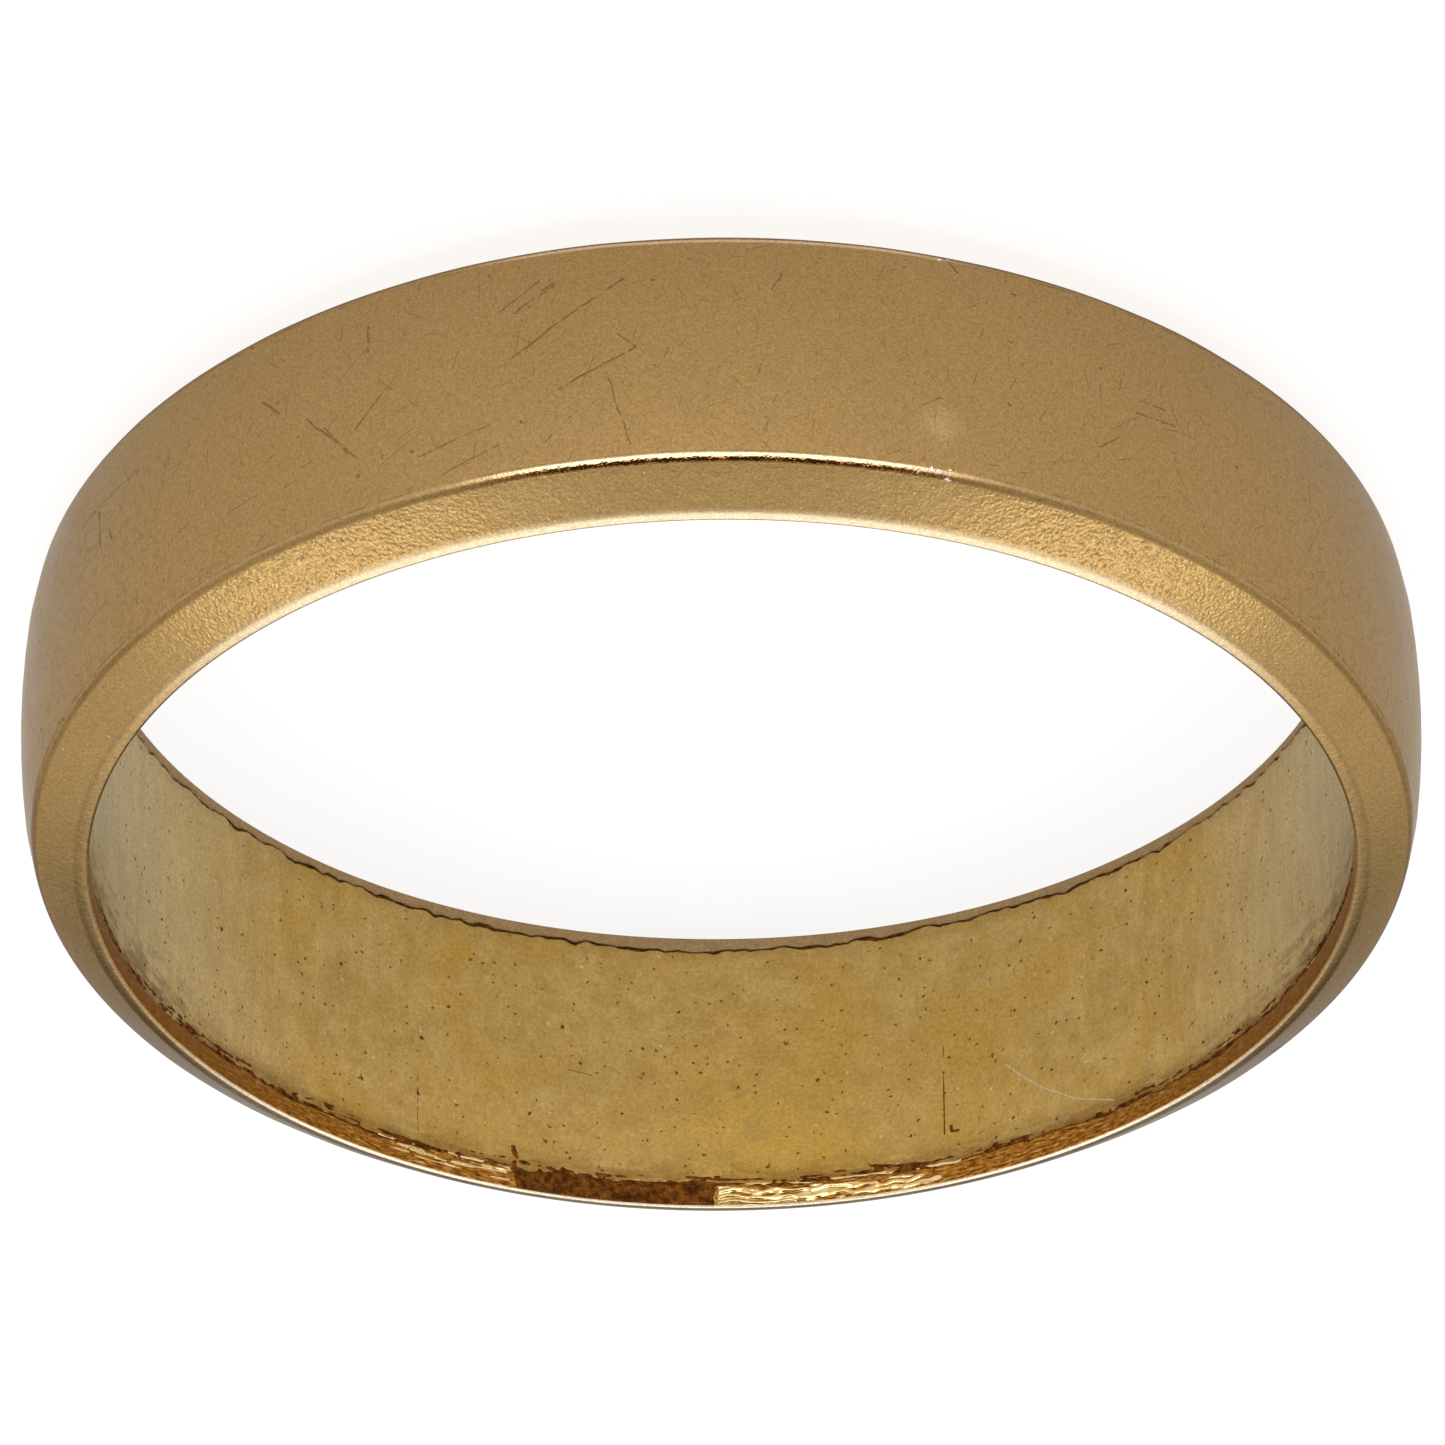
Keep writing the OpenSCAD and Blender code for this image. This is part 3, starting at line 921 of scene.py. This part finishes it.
def tent():
    """A pale light tent all round, with a dark opening above the near side and a dimmer low back."""
    world = bpy.data.worlds.new("light_tent")
    world.use_nodes = True
    tree = world.node_tree
    sky = tree.nodes["Background"]
    way = tree.nodes.new("ShaderNodeTexCoord").outputs["Generated"]
    parts = tree.nodes.new("ShaderNodeSeparateXYZ")
    tree.links.new(way, parts.inputs[0])

    def ramp(value, start, end, out_start, out_end):
        node = tree.nodes.new("ShaderNodeMapRange")
        node.interpolation_type = "SMOOTHSTEP"
        tree.links.new(value, node.inputs["Value"])
        names = ("From Min", "From Max", "To Min", "To Max")
        for name, number in zip(names, (start, end, out_start, out_end)):
            node.inputs[name].default_value = number
        return node.outputs["Result"]

    def combine(operation, a, b):
        node = tree.nodes.new("ShaderNodeMath")
        node.operation = operation
        for socket, value in zip(node.inputs, (a, b)):
            if isinstance(value, bpy.types.NodeSocket):
                tree.links.new(value, socket)
            else:
                socket.default_value = value
        return node.outputs[0]

    up = parts.outputs["Z"]
    flat_way = tree.nodes.new("ShaderNodeVectorMath")
    flat_way.operation = "MULTIPLY"
    tree.links.new(way, flat_way.inputs[0])
    flat_way.inputs[1].default_value = (1, 1, 0)
    flat_unit = tree.nodes.new("ShaderNodeVectorMath")
    flat_unit.operation = "NORMALIZE"
    tree.links.new(flat_way.outputs["Vector"], flat_unit.inputs[0])
    flat_parts = tree.nodes.new("ShaderNodeSeparateXYZ")
    tree.links.new(flat_unit.outputs["Vector"], flat_parts.inputs[0])
    back = flat_parts.outputs["Y"]

    low, high, soft = (math.radians(a) for a in (OPENING_LOW, OPENING_HIGH, OPENING_SOFT))
    above = ramp(up, math.sin(low - soft), math.sin(low + soft), 0, 1)
    below = ramp(up, math.sin(high - soft), math.sin(high + soft), 1, 0)
    inner = -math.cos(math.radians(OPENING_SIDE - OPENING_SIDE_SOFT))
    outer = -math.cos(math.radians(OPENING_SIDE + OPENING_SIDE_SOFT))
    ahead = ramp(back, inner, outer, 1, 0)
    hole = combine("MULTIPLY", combine("MULTIPLY", above, below), ahead)
    bright = ramp(up, 0.0, 0.8, TENT_LOW, TENT_HIGH)
    beside = combine("MULTIPLY", ramp(back, -0.1, 0.4, TENT_SIDE, 0), ramp(up, 0.2, 0.6, 1, 0))
    bright = combine("ADD", bright, beside)
    quarter = combine("MULTIPLY", ramp(back, 0.4, 0.62, 0, TENT_QUARTER), ramp(back, 0.72, 0.92, 1, 0))
    bright = combine("ADD", bright, combine("MULTIPLY", quarter, ramp(up, 0.32, 0.55, 1, 0)))
    dim_back = combine("MULTIPLY", ramp(back, 0.8, 0.96, 0, 1), ramp(up, 0.3, 0.5, 1, 0))
    bright = combine("MULTIPLY", bright, combine("SUBTRACT", 1.0, combine("MULTIPLY", dim_back, BACK_DIM)))
    bright = combine("MULTIPLY", bright, combine("SUBTRACT", 1.0, combine("MULTIPLY", hole, OPENING_DARK)))
    tree.links.new(bright, sky.inputs["Strength"])
    sky.inputs["Color"].default_value = (0.97, 0.985, 1, 1)
    bpy.context.scene.world = world


def camera():
    """Above the near rim and turned over, so that the near outside is at the top of the picture."""
    data = bpy.data.cameras.new("camera")
    data.sensor_width = 36
    data.lens = CAMERA_LENS
    data.clip_start, data.clip_end = 0.01, 10
    cam = bpy.data.objects.new("camera", data)
    bpy.context.scene.collection.objects.link(cam)
    rim_centre = Vector((0, 0, HALF_W))
    way = Vector((0, -math.cos(CAMERA_ELEVATION), math.sin(CAMERA_ELEVATION)))
    place = rim_centre + CAMERA_DISTANCE * way
    look = (Vector(CAMERA_TARGET) - place).to_track_quat("-Z", "Y")
    roll = Matrix.Rotation(CAMERA_ROLL, 4, "Z")
    cam.matrix_world = Matrix.Translation(place) @ look.to_matrix().to_4x4() @ roll
    bpy.context.scene.camera = cam


floor()
for light in LIGHTS:
    area_light(*light)
camera()
tent()
bpy.context.scene.view_settings.view_transform = "Standard"
